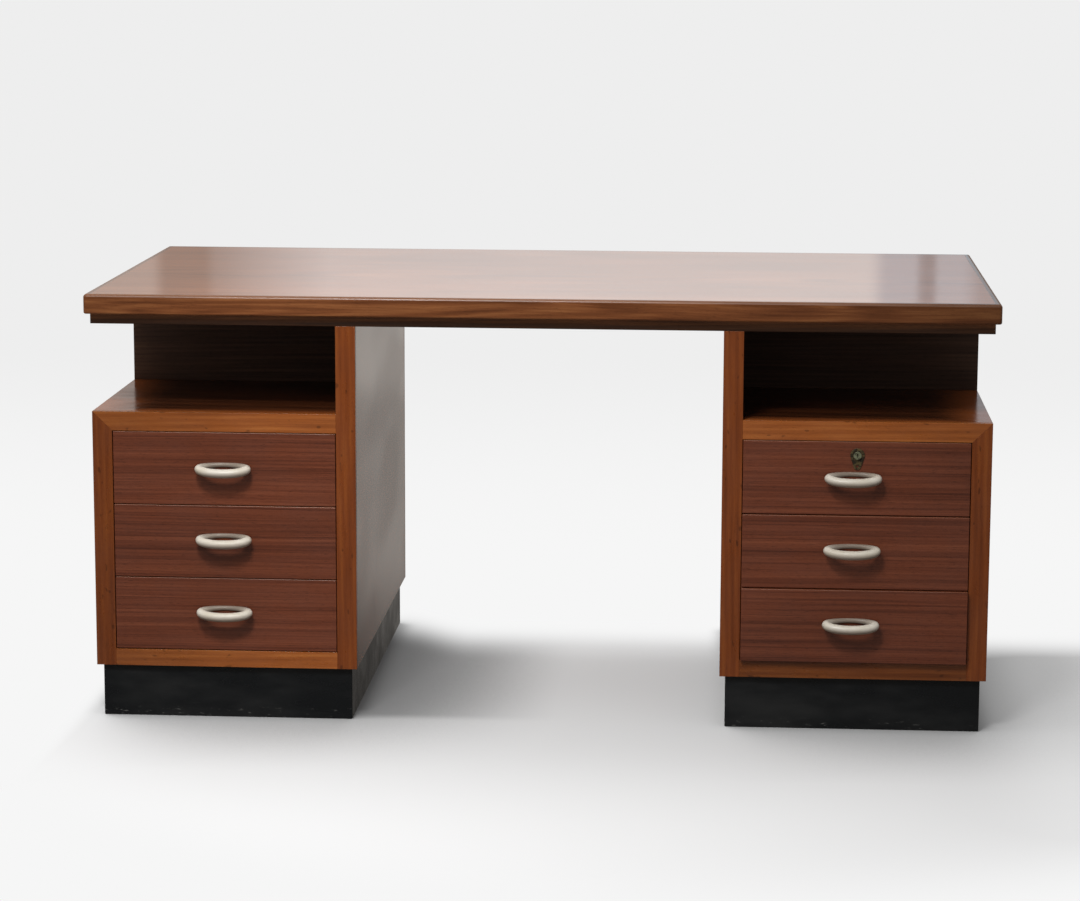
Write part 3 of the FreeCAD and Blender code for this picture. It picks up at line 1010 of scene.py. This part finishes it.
@dataclass
class Pedestal:
    """Boards, edging, panels and plinth of one pedestal."""

    side: Side
    side_thickness: float = 0.035
    shelf_thickness: float = 0.034
    bottom_thickness: float = 0.030
    shelf_height: float = 0.553
    edging_depth: float = 0.012
    strip_ease: float = 0.0004
    strip_steps: int = 2
    board_ease: float = 0.0005
    plinth_board: float = 0.020
    plinth_ease: float = 0.0022
    plinth_steps: int = 3

    LEVEL_STRIP = 0
    UPRIGHT_STRIP = 1
    BOTTOM_STRIP = 2

    def build(self) -> None:
        """Build and dress every piece of the pedestal."""
        upright = CARCASE_VENEER.material(GrainAxis.ALONG_Z)
        finishes = {
            "inner_side": upright,
            "outer_side": upright,
            "shelf": SHELF_LIGHT_AND_SHADE.material(GrainAxis.ALONG_X),
            "bottom": CARCASE_VENEER.material(GrainAxis.ALONG_X),
            "niche_partition": PARTITION.material(GrainAxis.ALONG_X),
            "back_panel": DARK_WOOD.material(GrainAxis.ALONG_X),
        }
        for piece, finish in finishes.items():
            soften(dress(f"{self.side.word}_{piece}", finish), self.board_ease)
        self.edging()
        self.plinth()

    def strip(self, mesh: BMesh, corners: tuple[Vector, Vector], kind: int,
              mitre: Callable[[Vector], bool] | None = None, shift: Triple = ORIGIN) -> None:
        """Add one strip of edging.

        Args:
            mesh: Mesh to add to.
            corners: Lowest and highest corner.
            kind: Number of the strip's material.
            mitre: Test of the corners that are drawn back for a mitre.
            shift: How far they are drawn back.
        """
        verts = cube(mesh, *corners)
        if mitre is not None:
            bmesh.ops.translate(mesh, verts=[vert for vert in verts if mitre(vert.co)], vec=shift)
        mesh.edges.index_update()
        grown = bevelled(mesh, edges_of(verts), self.strip_ease, self.strip_steps)
        for vert in grown["verts"]:
            for face in vert.link_faces:
                face.material_index = kind

    def edging(self) -> None:
        """Build the strips on the front and rear edges of the four boards."""
        word = self.side.word
        sign = self.side.value
        low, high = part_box(f"{word}_edging")
        inner = low.x if sign > 0 else high.x
        outer = high.x if sign > 0 else low.x
        opening_inner = inner + sign * self.side_thickness
        opening_outer = outer - sign * self.side_thickness
        shelf_bottom = self.shelf_height - self.shelf_thickness
        opening_bottom = low.z + self.bottom_thickness
        mesh = bmesh.new()

        def corners(across: Span, front: float, heights: Span) -> tuple[Vector, Vector]:
            """Lowest and highest corner of a strip."""
            first = Vector((min(across), front, heights[0]))
            last = Vector((max(across), front + self.edging_depth, heights[1]))
            return first, last

        def upper_end(place: Vector) -> bool:
            """Whether a corner of the outer upright lies under the shelf's mitre."""
            return place.z > shelf_bottom and abs(place.x - opening_outer) < NEAR

        def lower_end(place: Vector) -> bool:
            """Whether a corner of the shelf's strip lies on the upright's mitre."""
            return place.z < shelf_bottom + NEAR and abs(place.x - outer) < NEAR

        for front in (low.y, high.y - self.edging_depth):
            inner_upright = corners((inner, opening_inner), front, (low.z, high.z))
            self.strip(mesh, inner_upright, self.UPRIGHT_STRIP)
            outer_upright = corners((opening_outer, outer), front, (low.z, self.shelf_height))
            self.strip(mesh, outer_upright, self.UPRIGHT_STRIP, upper_end,
                       (0.0, 0.0, -self.shelf_thickness))
            bottom = corners((opening_inner, opening_outer), front, (low.z, opening_bottom))
            self.strip(mesh, bottom, self.BOTTOM_STRIP)
            shelf = corners((opening_inner, outer), front, (shelf_bottom, self.shelf_height))
            self.strip(mesh, shelf, self.LEVEL_STRIP, lower_end,
                       (-sign * self.side_thickness, 0.0, 0.0))
        # The right bottom rail takes darker tones as painted shade of the proud drawer's shadow.
        bottom_finish = RAIL_EDGING if self.side is Side.LEFT else SHADED_EDGING
        materials = [
            RAIL_EDGING.material(GrainAxis.ALONG_X),
            PEDESTAL_EDGING.material(GrainAxis.ALONG_Z),
            bottom_finish.material(GrainAxis.ALONG_X),
        ]
        finish_piece(f"{word}_edge_strips", mesh, materials, "desk_frame",
                     f"{word}_edging")

    def plinth(self) -> None:
        """Build the plinth as one mitred ring of boards with worn corners."""
        word = self.side.word
        low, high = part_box(f"{word}_plinth")
        mesh = bmesh.new()
        ring_of_boards(mesh, low, high, self.plinth_board)
        round_edges(mesh, self.plinth_ease, self.plinth_steps, right_angled)
        finish_piece(f"{word}_plinth_boards", mesh, [BLACK_PLINTH.material()], "desk_frame",
                     f"{word}_plinth")


@dataclass
class Drawer:
    """Front, box, ring pull and screws of one drawer."""

    side: Side
    level: Level
    front_ease: float = 0.0014
    front_steps: int = 3
    highlight_from: float = 0.30
    box_ease: float = 0.0008
    pull_width: float = 0.100
    pull_reach: float = 0.040
    pull_bar: float = 0.016
    pull_back_bar: float = 0.008
    pull_tilt: float = 20.0
    ring_steps: int = 96
    bar_sides: int = 28

    PLAIN_FACE = 0
    HIGHLIGHT_EDGE = 1

    @property
    def node(self) -> str:
        """Start of the names of this drawer's nodes."""
        return f"{self.side.word}_{self.level.value}"

    @property
    def body(self) -> str:
        """CAD body of this drawer."""
        return f"{self.node}_drawer"

    def build(self) -> None:
        """Build and dress every piece of the drawer."""
        self.front()
        self.pull()
        along = BOX_WOOD.material(GrainAxis.ALONG_Y)
        across = BOX_WOOD.material(GrainAxis.ALONG_X)
        soften(dress(f"{self.node}_drawer_sides", along), self.box_ease)
        soften(dress(f"{self.node}_drawer_back", across), self.box_ease)
        dress(f"{self.node}_drawer_bottom", across)
        dress(f"{self.node}_pull_screws", STEEL.material())

    def front(self) -> None:
        """Build the front with eased edges and level striped veneer."""
        low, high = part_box(f"{self.node}_drawer_front")
        mesh = bmesh.new()
        cube(mesh, low, high)
        # Painted highlight: the upward-facing faces of the rounding take the lighter edge finish.
        for face in round_edges(mesh, self.front_ease, self.front_steps, lambda edge: True):
            highlighted = face.normal.z > self.highlight_from
            face.material_index = self.HIGHLIGHT_EDGE if highlighted else self.PLAIN_FACE
        materials = [
            DRAWER_VENEER.material(GrainAxis.ALONG_X),
            DRAWER_HIGHLIGHT.material(GrainAxis.ALONG_X),
        ]
        finish_piece(f"{self.node}_front_panel", mesh, materials, self.body,
                     f"{self.node}_drawer_front")

    def pull_place(self, turn: float) -> Matrix:
        """Place of a round section on the oval of the pull.

        Args:
            turn: Angle round the oval, with 0 at its right end and a quarter turn at its back.

        Returns:
            Matrix that lays a unit circle there, at its own size.
        """
        half_width = (self.pull_width - self.pull_bar) / 2
        half_depth = (self.pull_reach - self.pull_bar / 2) / 2
        back_share = max(0.0, math.sin(turn))
        radius = (self.pull_bar + (self.pull_back_bar - self.pull_bar) * back_share) / 2
        run = math.atan2(half_depth * math.cos(turn), -half_width * math.sin(turn))
        centre = Vector((half_width * math.cos(turn), half_depth * (math.sin(turn) - 1), 0.0))
        along = Matrix.Rotation(run, 4, "Z") @ Matrix.Rotation(QUARTER_TURN, 4, "Y")
        return Matrix.Translation(centre) @ along @ Matrix.Scale(radius, 4)

    def ring(self, mesh: BMesh) -> None:
        """Carry a round bar round the oval of the pull and close it.

        Args:
            mesh: Empty mesh to add to.
        """
        turns = [math.tau * step / self.ring_steps for step in range(self.ring_steps)]
        bmesh.ops.create_circle(mesh, segments=self.bar_sides, radius=1.0,
                                matrix=self.pull_place(turns[0]))
        first = mesh.edges[:]
        current = first
        for before, after in zip(turns, turns[1:]):
            grown = bmesh.ops.extrude_edge_only(mesh, edges=current)["geom"]
            verts = [item for item in grown if isinstance(item, BMVert)]
            fresh = set(verts)
            step = self.pull_place(after) @ self.pull_place(before).inverted()
            bmesh.ops.transform(mesh, matrix=step, verts=verts)
            edges = [item for item in grown if isinstance(item, BMEdge)]
            current = [edge for edge in edges if fresh.issuperset(edge.verts)]
        bmesh.ops.bridge_loops(mesh, edges=first + current)

    def pull(self) -> None:
        """Build the ring pull, tilted and cut flat at the drawer's face."""
        screws_low, screws_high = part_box(f"{self.node}_pull_screws")
        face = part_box(f"{self.node}_drawer_front")[0].y
        middle = (screws_low + screws_high) / 2
        mesh = bmesh.new()
        self.ring(mesh)
        tilt = Matrix.Rotation(math.radians(self.pull_tilt), 4, "X")
        place = Matrix.Translation((middle.x, face, middle.z)) @ tilt
        bmesh.ops.transform(mesh, matrix=place, verts=mesh.verts[:])
        whole = mesh.verts[:] + mesh.edges[:] + mesh.faces[:]
        cut = bmesh.ops.bisect_plane(mesh, geom=whole, plane_co=(0.0, face, 0.0),
                                     plane_no=(0.0, 1.0, 0.0), clear_outer=True)["geom_cut"]
        rim = [item for item in cut if isinstance(item, BMEdge)]
        bmesh.ops.edgeloop_fill(mesh, edges=rim)
        bmesh.ops.recalc_face_normals(mesh, faces=mesh.faces[:])
        finish_piece(f"{self.node}_ring_pull", mesh, [IVORY.material(face)], self.body,
                     f"{self.node}_pull")


@dataclass
class DrawerLock:
    """Plate, barrel, case and bolt of the lock on the right top drawer."""

    plate_ease: float = 0.0006
    barrel_ease: float = 0.0005

    def build(self) -> None:
        """Dress every piece of the lock."""
        soften(dress("lock_escutcheon", AGED_BRASS.material()), self.plate_ease)
        soften(dress("lock_barrel", WORN_BRASS.material()), self.barrel_ease)
        steel = STEEL.material()
        dress("lock_case", steel)
        dress("lock_bolt", steel)


@dataclass
class PhotoCamera:
    """Camera at the viewing angle of the photograph, with its turns in degrees."""

    focal_px: float = 3129.5
    frame_px: float = 1080.0
    sensor_mm: float = 36.0
    right_of_middle: float = 0.35667
    ahead_of_top: float = 5.38224
    height: float = 1.41565
    yaw: float = 3.751
    pitch: float = 9.673
    roll: float = 0.211
    sight: float = 500.0

    def build(self) -> None:
        """Make the camera and hand it to the scene."""
        yaw = math.radians(self.yaw)
        pitch = math.radians(self.pitch)
        roll = math.radians(self.roll)
        level_ahead = Vector((-math.sin(yaw), math.cos(yaw), 0.0)) * math.cos(pitch)
        ahead = level_ahead - Vector((0.0, 0.0, math.sin(pitch)))
        right = Vector((math.cos(yaw), math.sin(yaw), 0.0))
        up = right.cross(ahead)
        rolled_right = right * math.cos(roll) + up * math.sin(roll)
        rolled_up = up * math.cos(roll) - right * math.sin(roll)
        top_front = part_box("top_edging")[0].y
        data = bpy.data.cameras.new("photo_camera")
        data.sensor_width = self.sensor_mm
        data.lens = self.focal_px / self.frame_px * self.sensor_mm
        data.clip_end = self.sight
        camera = stand("photo_camera", data)
        turned = Matrix((rolled_right, rolled_up, -ahead)).transposed().to_4x4()
        place = (self.right_of_middle, top_front - self.ahead_of_top, self.height)
        camera.matrix_world = Matrix.Translation(place) @ turned
        bpy.context.scene.camera = camera
        LOG.info("camera: lens %.1f mm", data.lens)


@dataclass(frozen=True)
class Softbox:
    """One soft lamp: where it hangs and points, its size, strength and beam, and if gloss shows it."""

    name: str
    place: Triple
    target: Triple
    width: float
    height: float
    watts: float
    beam: float = 180.0
    mirrored: bool = False

    def build(self) -> None:
        """Hang the lamp."""
        data = bpy.data.lights.new(self.name, "AREA")
        data.shape = "RECTANGLE"
        data.size = self.width
        data.size_y = self.height
        data.energy = self.watts
        data.spread = math.radians(self.beam)
        lamp = stand(self.name, data)
        lamp.visible_glossy = self.mirrored
        lamp.location = self.place
        aim = Vector(self.target) - Vector(self.place)
        lamp.rotation_euler = aim.to_track_quat("-Z", "Y").to_euler()
        LOG.info("%s: %.1f W", self.name, self.watts)


@dataclass(frozen=True)
class WallBand:
    """Upright stretch of wall mirrored in the top, between two headings in degrees."""

    first: float
    last: float
    level: float
    warmth: float = 0.0

    @property
    def colour(self) -> Colour:
        """Colour that the band is mirrored with."""
        return self.level * (1 + self.warmth), self.level, self.level * (1 - self.warmth), 1.0


@dataclass(frozen=True)
class FloorFinish:
    """Studio floor: lit and shadowed near the desk, evenly pale beyond, and dim where gloss mirrors it.

    The shadows lie to the right of the pedestals and fade to the back; near the desk they are partly
    painted: a contact shade that leans left and a cast shadow to the right of the left plinth.
    """

    lit: Colour = shade(230, 230, 230)
    bounce: Colour = shade(186, 184, 181)
    near_pale: Colour = shade(246, 246, 246)
    far_pale: Colour = shade(238, 238, 238)
    fade: Span = (1.0, 4.6)
    glow: float = 0.10
    contact_shade_reach: float = 0.36
    contact_shade_full: float = 0.35
    contact_shade_depth: float = 0.58
    contact_shade_lean: Triple = (-0.80, 0.35, 0.50)
    foot_shade_reach: float = 0.045
    foot_shade_full: float = 0.45
    foot_shade_depth: float = 0.55
    shadow_shift: float = 0.25
    shadow_half_x: float = 1.15
    shadow_half_y: float = 1.25
    shadow_limits: Span = (0.55, 1.6)
    shadow_back: float = 0.46
    shadow_soft: float = 0.42
    shadow_push: float = 0.11
    push_reach: float = 0.16
    cast_shadow_depth: float = 0.50
    cast_shadow_reach: float = 0.40
    cast_shadow_edge: float = 0.05
    shadowless_left_from: float = 0.07
    shadowless_left_reach: float = 0.08
    lift_from: float = 0.12
    lift_reach: float = 0.26
    lift_share: float = 0.36
    mirrored_tint: Colour = (1.0, 0.935, 0.865, 1.0)
    mirrored_levels: Span = (0.10, 0.445)
    mirrored_rise: Span = (-0.20, 1.25)
    step_level: float = 0.19
    step_rise: Span = (3.2, 3.9)

    def pale(self, sheet: NodeSheet, depth: NodeSocket) -> NodeSocket:
        """Colour of the floor away from the shadows, with a painted dark line of shade where the desk
        touches it.
        """
        even = sheet.mix(sheet.spread(depth, self.fade), self.near_pale, self.far_pale)
        # Painted shade: a dark line where the desk stands on the floor.
        foot_shade = sheet.crowding(self.foot_shade_full, Distance=self.foot_shade_reach)
        return sheet.darkened(even, foot_shade, self.foot_shade_depth)

    def shadow_free(self, sheet: NodeSheet, across: NodeSocket, depth: NodeSocket) -> NodeSocket:
        """Work out where the floor is pale.

        Args:
            sheet: Node tree to work in.
            across: X on the floor.
            depth: Y on the floor.

        Returns:
            The mask, 0 in the shadows and 1 where the floor is evenly pale.
        """
        left_low, left_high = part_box("left_plinth")
        right_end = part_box("right_plinth")[1].x
        shifted = sheet.math("SUBTRACT", across, self.shadow_shift)
        wide = sheet.math("POWER", sheet.math("DIVIDE", shifted, self.shadow_half_x), 2.0)
        long = sheet.math("POWER", sheet.math("DIVIDE", depth, self.shadow_half_y), 2.0)
        outside = sheet.spread(sheet.math("ADD", wide, long), self.shadow_limits)
        beside = (left_high.x, left_high.x + self.push_reach)
        push = sheet.spread(across, beside, (self.shadow_push, 0.0))
        back_span = (self.shadow_back - self.shadow_soft, self.shadow_back)
        behind = sheet.spread(sheet.math("SUBTRACT", depth, push), back_span)
        # Painted light: the floor is made evenly pale left of the left plinth and partly so right of the
        # right plinth, over the shade there.
        shadowless_left_start = left_low.x - self.shadowless_left_from
        shadowless_left = sheet.spread(across, (shadowless_left_start, shadowless_left_start + self.shadowless_left_reach), FALLING)
        lift_start = right_end - self.lift_from
        lift = sheet.spread(across, (lift_start, lift_start + self.lift_reach), (0.0, self.lift_share))
        ends = sheet.math("MAXIMUM", shadowless_left, lift)
        return sheet.math("MAXIMUM", sheet.math("MAXIMUM", outside, behind), ends)

    def shadowed(self, sheet: NodeSheet, across: NodeSocket, depth: NodeSocket) -> NodeSocket:
        """Work out the colour near the desk, with painted shade close to it and a painted shadow to the
        right of the left plinth.

        Args:
            sheet: Node tree to work in.
            across: X on the floor.
            depth: Y on the floor.

        Returns:
            The colour.
        """
        left_low, left_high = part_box("left_plinth")
        # Painted shade: the floor darkens where the desk crowds it, searched about a normal that leans
        # left.
        lean = sheet.node("ShaderNodeCombineXYZ", dict(zip("XYZ", self.contact_shade_lean)))
        contact_shade = sheet.crowding(self.contact_shade_full, Distance=self.contact_shade_reach,
                                 Normal=lean.outputs["Vector"])
        colour = sheet.darkened(self.lit, contact_shade, self.contact_shade_depth)
        # Painted shadow: a cast shadow to the right of the left plinth, from its front backwards.
        past = sheet.spread(across, (left_low.x, left_high.x))
        fading = sheet.spread(across, (left_high.x, left_high.x + self.cast_shadow_reach), FALLING)
        front = sheet.spread(depth, (left_low.y, left_low.y + self.cast_shadow_edge))
        painted_cast_shadow = sheet.math("MULTIPLY", sheet.math("MULTIPLY", past, fading), front)
        return sheet.darkened(colour, painted_cast_shadow, self.cast_shadow_depth)

    def material(self) -> Material:
        """Make the material, which camera, gloss and bounced light each see in their own way."""
        material, sheet = new_material("studio_floor")
        material.cycles.emission_sampling = "NONE"
        place = sheet.object_space()
        across = sheet.axis(place, "X")
        depth = sheet.axis(place, "Y")
        path = sheet.node("ShaderNodeLightPath", {}).outputs
        colour = sheet.mix(path["Is Camera Ray"], self.bounce, self.shadowed(sheet, across, depth))
        matte = sheet.node("ShaderNodeBsdfDiffuse", {"Color": colour})
        nearer = sheet.spread(depth, self.mirrored_rise, self.mirrored_levels)
        farther = sheet.spread(depth, self.step_rise, (0.0, self.step_level))
        level = sheet.math("ADD", nearer, farther)
        dim = sheet.node("ShaderNodeEmission", {"Color": self.mirrored_tint, "Strength": level})
        bright = sheet.node("ShaderNodeEmission", {"Color": self.pale(sheet, depth), "Strength": 1.0})
        lifted = sheet.spread(self.shadow_free(sheet, across, depth), RISING, (self.glow, 1.0))
        seen = sheet.math("MULTIPLY", path["Is Camera Ray"], lifted)
        shown = sheet.either(seen, sheet.either(path["Is Glossy Ray"], matte, dim), bright)
        sheet.node("ShaderNodeOutputMaterial", {"Surface": shown.outputs[0]})
        return material


@dataclass
class Studio:
    """Pale floor and surroundings with soft lamps.

    The bands are the lighter and darker stretches that the top mirrors, from left to right.
    """

    floor_reach: float = 120.0
    floor_finish: FloorFinish = FloorFinish()
    ambient: float = 0.38
    room_dark: float = 0.09
    low_wall: float = 0.86
    low_rise: Span = (0.103, 0.121)
    ahead_rise: Span = (0.0, 0.35)
    bands: tuple[WallBand, ...] = (
        WallBand(-13.0, -10.85, level=0.56, warmth=0.06),
        WallBand(-10.65, -9.85, level=0.34, warmth=0.06),
        WallBand(-9.75, -9.65, level=0.46, warmth=0.03),
        WallBand(-7.6, -7.4, level=0.93),
        WallBand(-4.0, 2.3, level=0.99),
        WallBand(2.55, 3.15, level=0.72, warmth=-0.08),
        WallBand(3.23, 3.42, level=0.42, warmth=-0.08),
        WallBand(3.5, 4.0, level=0.70, warmth=-0.08),
        WallBand(4.3, 5.6, level=0.50, warmth=-0.06),
        WallBand(6.3, 14.0, level=0.39, warmth=0.08),
    )
    lamps: tuple[Softbox, ...] = (
        Softbox("front_softbox", place=(-0.6, -3.0, 3.5), target=(-0.45, -0.3, 0.45),
                width=0.8, height=0.7, watts=17.5, beam=75.0, mirrored=True),
        Softbox("left_softbox", place=(-0.8, -2.3, 2.1), target=(-0.4, -0.3, 0.3),
                width=1.2, height=1.0, watts=20.0),
        Softbox("top_softbox", place=(-0.5, 1.2, 3.8), target=(0.0, -0.1, 0.2),
                width=2.6, height=2.0, watts=44.0),
    )

    def build(self) -> None:
        """Build the floor, the surroundings and the lamps."""
        self.floor()
        self.surroundings()
        for lamp in self.lamps:
            lamp.build()
        view = bpy.context.scene.view_settings
        view.view_transform = "Standard"

    def floor(self) -> None:
        """Lay the floor."""
        mesh = bmesh.new()
        bmesh.ops.create_grid(mesh, x_segments=1, y_segments=1, size=self.floor_reach)
        data = filled_mesh("studio_floor", mesh, [self.floor_finish.material()])
        ground = stand("studio_floor", data)

    def banded(self, sheet: NodeSheet, slant: NodeSocket) -> NodeSocket:
        """Colour of the pale wall and its darker bands, by heading.

        Args:
            sheet: Node tree to work in.
            slant: Tangent of the heading, measured from straight ahead.

        Returns:
            The colour.
        """
        edges = [(edge, band.colour) for band in self.bands for edge in (band.first, band.last)]
        slants = [math.tan(math.radians(heading)) for heading, _ in edges]
        first = slants[0]
        span = slants[-1] - first
        stops = [((at - first) / span, colour) for at, (_, colour) in zip(slants, edges)]
        inputs = {"Value": slant, "From Min": first, "From Max": slants[-1]}
        place = sheet.node("ShaderNodeMapRange", inputs).outputs["Result"]
        return sheet.ramp(place, stops)

    def surroundings(self) -> None:
        """Set the world: pale behind the desk, darker behind the camera, even as fill light."""
        world = bpy.data.worlds.new("studio_surroundings")
        world.use_nodes = True
        world.cycles.sampling_method = "NONE"
        bpy.context.scene.world = world
        sheet = NodeSheet(world.node_tree)
        heading = sheet.node("ShaderNodeTexCoord", {}).outputs["Generated"]
        sideways = sheet.axis(heading, "X")
        forward = sheet.axis(heading, "Y")
        bands = self.banded(sheet, sheet.math("DIVIDE", sideways, forward))
        low_dark = sheet.spread(sheet.axis(heading, "Z"), self.low_rise, (1.0 - self.low_wall, 0.0))
        bands = sheet.mix(low_dark, bands, BLACK)
        dark = (self.room_dark, self.room_dark, self.room_dark, 1.0)
        around = sheet.mix(sheet.spread(forward, self.ahead_rise), dark, bands)
        fill = sheet.node("ShaderNodeBackground", {"Color": WHITE, "Strength": self.ambient})
        mirrored = sheet.node("ShaderNodeBackground", {"Color": around, "Strength": 1.0})
        backdrop = {"Color": self.floor_finish.far_pale, "Strength": 1.0}
        seen = sheet.node("ShaderNodeBackground", backdrop)
        path = sheet.node("ShaderNodeLightPath", {}).outputs
        unseen = sheet.either(path["Is Glossy Ray"], fill, mirrored)
        shown = sheet.either(path["Is Camera Ray"], unseen, seen)
        sheet.node("ShaderNodeOutputWorld", {"Surface": shown.outputs[0]})


def main() -> None:
    """Build the sub-assemblies in order, then the camera and the studio."""
    logging.basicConfig(level=logging.INFO, format="%(name)s: %(message)s")
    DeskTop().build()
    dress("drawer_runners", BOX_WOOD.material(GrainAxis.ALONG_Y))
    for side in Side:
        Pedestal(side).build()
        for level in Level:
            Drawer(side, level).build()
    DrawerLock().build()
    PhotoCamera().build()
    Studio().build()


if __name__ == "__main__":
    main()
